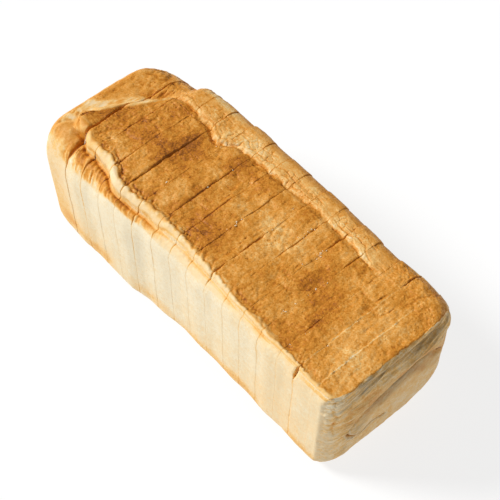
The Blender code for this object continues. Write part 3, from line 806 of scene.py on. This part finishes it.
    final = placed(index, *moved.T)
    data.vertices.foreach_set("co", np.clip(final, *np.array(cadBox)).ravel())
    data.update()
    finishSlice(index, data, quadStops(data, stop), bands, {
        "tone": clamp(tone), "baked": clamp(spot.baked), "dull": spot.dull, "drawn": spot.drawn, "deep": deep / mm})
    edge = np.flatnonzero(crust & (stops[bands] - stops[stop] < 1.2 * mm) & (spot.up > 0.5))
    for cut, middle, reach, count in crumbForm["lines"]:
        near = edge[np.abs(y[edge] / mm - middle) < reach] if cut == index + 1 else edge[:0]
        fleckSpots.extend(final[near[fleckRandom.integers(0, len(near), count)]] if len(near) else [])


def shown(name, data):  # an object in the scene, made of that mesh, lamp or camera
    made = bpy.data.objects.new(name, data)
    scene.collection.objects.link(made)
    return made


def quadStops(data, stop):  # the sections at each face's four corners
    corners = np.empty(len(data.loops), int)
    data.loops.foreach_get("vertex_index", corners)
    return stop[corners.reshape(-1, 4)]


def finishSlice(index, data, quads, bands, values):
    near, far = (quads == bands).all(axis=1), (quads == 0).all(axis=1)
    cutFace = (index > 0) & far | (index < lastSlice) & near
    data.polygons.foreach_set("material_index", cutFace.astype(np.int32))
    for name, value in values.items():
        data.attributes.new(name, "FLOAT", "POINT").data.foreach_set("value", value.astype(np.float32))
    data.shade_smooth()
    data.set_sharp_from_angle(angle=np.radians(fineGrid["sharpAngle"]))
    name = f"breadSlice{index + 1:02d}"
    data.name = name
    data.materials.append(crustMaterial)
    data.materials.append(crumbMaterial)
    piece = shown(name, data)
    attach(piece, "root")
    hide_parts(f"slice_{index + 1:02d}")


# Crumb flecks on the crust, in millimetres: after which slice, at which y and how far around it, and how many.
crumbForm = {
    "lines": ((4, -24, 6, 3), (5, -23, 4, 2), (5, 24, 4, 4), (6, -2, 30, 4), (8, -13, 7, 5), (8, -1, 5, 3),
              (9, 10, 14, 3), (10, 20, 7, 10), (11, 18, 6, 9), (11, 2, 16, 6), (12, -2, 20, 5), (12, -29, 6, 5),
              (13, -35, 8, 5), (14, -30, 30, 6)),
    "least": 0.15, "most": 0.5, "longer": 2.4, "flatter": 0.8, "tilt": 0.4, "scatter": 1.2, "sunk": 0.05,
}
fleckSpots, fleckRandom = [], np.random.default_rng(5)


def makeFlecks():  # tiny torn crumbs, one mesh
    mesh = bmesh.new()
    tilt = crumbForm["tilt"]
    for x, y, z in fleckSpots:
        size = fleckRandom.uniform(crumbForm["least"], crumbForm["most"]) * mm
        aside = fleckRandom.normal(0, crumbForm["scatter"] * mm, 2)
        turn = Matrix.Rotation(fleckRandom.uniform(0, np.pi), 4, "Z")
        turn = turn @ Matrix.Rotation(fleckRandom.uniform(-tilt, tilt), 4, "X")
        longer = fleckRandom.uniform(1, crumbForm["longer"])
        shape = Matrix.Diagonal((size * longer, size, size * crumbForm["flatter"], 1))
        height = min(z - crumbForm["sunk"] * mm, cadBox[1][2] - size * 1.4)
        place = Matrix.Translation((x + aside[0], y + aside[1], height))
        bmesh.ops.create_icosphere(mesh, subdivisions=1, radius=1, matrix=place @ turn @ shape)
    data = bpy.data.meshes.new("crumbFlecks")
    mesh.to_mesh(data)
    mesh.free()
    data.materials.append(fleckMaterial)
    piece = shown("crumbFlecks", data)
    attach(piece, "root")


class Sock:  # wraps a socket, so that shader maths reads as plain expressions
    def __init__(self, tree, link):
        self.tree, self.link = tree, link

    def node(self, kind, settings=None, values=None, out=0):
        made = self.tree.nodes.new(kind)
        for name, value in (settings or {}).items():
            if name == "stops":
                ramp = made.color_ramp
                while len(ramp.elements) < len(value):
                    ramp.elements.new(0.5)
                for element, (place, tint) in zip(ramp.elements, value):
                    element.position, element.color = place, tint
            else:
                setattr(made, name, value)
        for name, value in (values or {}).items():
            if isinstance(value, Sock):
                self.tree.links.new(value.link, made.inputs[name])
            else:
                made.inputs[name].default_value = value
        return Sock(self.tree, made.outputs[out])

    def maths(self, operation, *values):
        return self.node("ShaderNodeMath", {"operation": operation}, dict(enumerate(values)))

    __add__ = __radd__ = lambda self, other: self.maths("ADD", self, other)
    __mul__ = __rmul__ = lambda self, other: self.maths("MULTIPLY", self, other)
    __sub__ = lambda self, other: self.maths("SUBTRACT", self, other)
    __rsub__ = lambda self, other: self.maths("SUBTRACT", other, self)

    def step(self, low, high):  # 0 to 1 between low and high
        settings = {"interpolation_type": "SMOOTHSTEP"}
        return self.node("ShaderNodeMapRange", settings, {"Value": self, 1: low, 2: high})


def colour(red, green, blue):  # a screen colour as linear light, opaque
    return (*(((c / 255 + 0.055) / 1.055) ** 2.4 for c in (red, green, blue)), 1)


def painted(spots, name):  # a value that the mesh carries
    return spots.node("ShaderNodeAttribute", {"attribute_name": name}, out="Fac")


def noise(spots, scale, detail=3.0, rough=0.55):
    values = {"Vector": spots, "Scale": scale, "Detail": detail, "Roughness": rough}
    return spots.node("ShaderNodeTexNoise", values=values)


def blended(factor, first, second, spots, way="MIX"):  # 6, 7 and 2 are the node's colour sockets
    settings = {"data_type": "RGBA", "blend_type": way}
    return spots.node("ShaderNodeMix", settings, {"Factor": factor, 6: first, 7: second}, out=2)


def browned(tone):  # the crust's colour, from pale to dark
    stops = [(place, colour(*tint)) for place, tint in crustLook["stops"]]
    return tone.node("ShaderNodeValToRGB", {"stops": stops}, {"Fac": tone})


def newMaterial(name, roughness, specular=0.5):
    material = bpy.data.materials.new(name)
    material.use_nodes = True
    shader = material.node_tree.nodes["Principled BSDF"]
    shader.inputs["Roughness"].default_value = roughness
    shader.inputs["Specular IOR Level"].default_value = specular
    return material, shader


def objectSpots(material):  # places on the piece itself
    return Sock(material.node_tree, None).node("ShaderNodeTexCoord", out="Object")


def feed(shader, socks):
    for name, sock in socks.items():
        sock.tree.links.new(sock.link, shader.inputs[name])


# The finish of the crust: its colours by tone, and the scales of its patterns, in sizes to the metre.
crustLook = {
    "stops": ((0.00, (231, 217, 186)), (0.1, (229, 206, 163)), (0.2, (231, 200, 150)), (0.32, (229, 185, 113)),
              (0.46, (221, 161, 82)), (0.62, (208, 140, 50)), (0.78, (188, 116, 27)), (0.9, (164, 97, 26)),
              (1.00, (132, 76, 24))),
    "mottle": 260, "fine": 900, "dust": 120, "pores": 520, "poreClouds": 170, "threads": 700,
    "stretch": (1.0, 0.1, 1.0), "roughness": 0.6, "specular": 0.24, "bump": 0.45, "bumpDepth": 0.0006,
}


def makeCrust():
    material, shader = newMaterial("crustFinish", crustLook["roughness"], crustLook["specular"])
    spots = objectSpots(material)
    tone, baked, dull, drawn = (painted(spots, name) for name in ("tone", "baked", "dull", "drawn"))
    mottle = noise(spots, crustLook["mottle"]) - 0.5
    fine = noise(spots, crustLook["fine"]) - 0.5
    dust = noise(spots, crustLook["dust"], 4.0) - 0.5
    pores = spots.node("ShaderNodeTexVoronoi", values={"Vector": spots, "Scale": crustLook["pores"]})
    dark = (1 - pores.step(0.05, 0.42)) * noise(spots, crustLook["poreClouds"]).step(0.42, 0.62)
    dark = dark * (0.25 + 0.75 * baked)
    spread = 0.07 + 0.24 * baked
    mixed = tone + (mottle * 1.3 + fine * 2.4 + dust * 0.6) * spread + dark * 0.12
    stretched = spots.node("ShaderNodeVectorMath", {"operation": "MULTIPLY"}, {0: spots, 1: crustLook["stretch"]})
    threads = (noise(stretched, crustLook["threads"], 2.0, 0.5) - 0.5) * drawn
    # the greying darkens the colour: mostly painted shade on the near end, and the drawn threads' streaks
    left = 1 - (dull + threads * 1.1) * 0.75  # how much of the colour the greyer places keep
    grey = left.node("ShaderNodeCombineColor", values={"Red": left, "Green": left, "Blue": left})
    height = mottle * 0.6 + fine * 0.35 - dark * 0.9 - threads
    values = {"Strength": crustLook["bump"], "Distance": crustLook["bumpDepth"], "Height": height}
    feed(shader, {"Base Color": blended(1.0, browned(mixed), grey, spots, "MULTIPLY"),
                  "Roughness": crustLook["roughness"] + 0.22 * mottle - 0.06 * baked,
                  "Normal": height.node("ShaderNodeBump", values=values)})
    return material


crumbLook = {"pale": (250, 241, 220), "fleck": (236, 216, 178), "shade": (232, 210, 168), "roughness": 0.9,
             "specular": 0.15, "cells": 420, "clouds": 180, "bump": 0.5, "bumpDepth": 0.0008, "rim": (2.5, 7.0)}


def makeCrumb():
    material, shader = newMaterial("crumbFinish", crumbLook["roughness"], crumbLook["specular"])
    spots = objectSpots(material)
    pores = spots.node("ShaderNodeTexVoronoi", values={"Vector": spots, "Scale": crumbLook["cells"]})
    cloud = noise(spots, crumbLook["clouds"], 4.0, 0.5)
    # pores painted in a darker cream: painted shade inside the crumb's holes
    pocket = (1 - pores.step(0.08, 0.45)) * cloud.step(0.4, 0.6)
    body = blended(pocket * 0.8, colour(*crumbLook["pale"]), colour(*crumbLook["shade"]), spots)
    # a browned rim next to the crust, carried several millimetres into the crumb so that open gaps look tan: crust
    # colour and painted shade in the gaps
    rim = 1 - (painted(spots, "deep") + (cloud - 0.5) * 1.2).step(*crumbLook["rim"])
    crust = browned(painted(spots, "tone") * 0.6 + 0.16)
    values = {"Strength": crumbLook["bump"], "Distance": crumbLook["bumpDepth"], "Height": cloud * 0.5 - pocket}
    feed(shader, {"Base Color": blended(rim, body, crust, spots),
                  "Normal": spots.node("ShaderNodeBump", values=values)})
    return material


def makeFleck():
    material, shader = newMaterial("fleckFinish", crumbLook["roughness"])
    shader.inputs["Base Color"].default_value = colour(*crumbLook["fleck"])
    return material


fleckMaterial = makeFleck()
crustMaterial = makeCrust()
crumbMaterial = makeCrumb()
print("materials made")

start = farEndX
for index, thickness in enumerate(sliceForm["thickness"]):
    formSlice(index, start, start + thickness)
    start += thickness
for block in blocks.values():
    bpy.data.meshes.remove(block)
print("slices made:", len(sliceForm["thickness"]))
makeFlecks()
print("crumb flecks made:", len(fleckSpots))

stageForm = {"floorHalf": 40.0, "floorHeight": -0.0003, "floorColour": (0.22, 0.22, 0.22, 1), "floorGlow": 0.78,
             "floorRoughness": 0.95, "sun": 3.4, "sunAngle": 18, "sunFrom": (-0.62, -0.45, 0.65), "sky": 0.33}
cameraForm = {"lens": 107.19, "sensor": 36, "nearest": 0.05, "place": (0.4146, -0.345, 0.8876),
              "forward": (-0.4148, 0.3531, -0.8386), "right": (0.652, 0.7582, -0.0032)}
white = (1, 1, 1, 1)


def makeFloor():
    mesh = bmesh.new()
    bmesh.ops.create_grid(mesh, x_segments=1, y_segments=1, size=stageForm["floorHalf"],
                          matrix=Matrix.Translation((0, 0, stageForm["floorHeight"])))
    data = bpy.data.meshes.new("floorSheet")
    mesh.to_mesh(data)
    mesh.free()
    material, shader = newMaterial("floorFinish", stageForm["floorRoughness"], 0.0)
    shader.inputs["Base Color"].default_value = stageForm["floorColour"]
    shader.inputs["Emission Color"].default_value = white
    shader.inputs["Emission Strength"].default_value = stageForm["floorGlow"]
    data.materials.append(material)
    floor = shown("floorSheet", data)


def makeLight():
    lamp = bpy.data.lights.new("softKey", "SUN")
    lamp.energy = stageForm["sun"]
    lamp.angle = np.radians(stageForm["sunAngle"])
    shown("softKey", lamp).rotation_euler = Vector(stageForm["sunFrom"]).to_track_quat("Z", "Y").to_euler()
    world = bpy.data.worlds.new("paleStudio")
    world.use_nodes = True
    sky = world.node_tree.nodes["Background"].inputs
    sky["Color"].default_value, sky["Strength"].default_value = white, stageForm["sky"]
    scene.world = world


def makeCamera():
    lens = bpy.data.cameras.new("mainCamera")
    lens.lens, lens.sensor_width, lens.clip_start = (cameraForm[name] for name in ("lens", "sensor", "nearest"))
    right = Vector(cameraForm["right"]).normalized()
    back = -Vector(cameraForm["forward"]).normalized()
    right = (right - back * right.dot(back)).normalized()
    turn = Matrix((right, back.cross(right), back)).transposed()
    camera = shown("mainCamera", lens)
    camera.matrix_world = Matrix.Translation(cameraForm["place"]) @ turn.to_4x4()
    bpy.context.scene.camera = camera


makeFloor()
makeLight()
makeCamera()
scene.view_settings.view_transform = "Standard"
print("stage made")
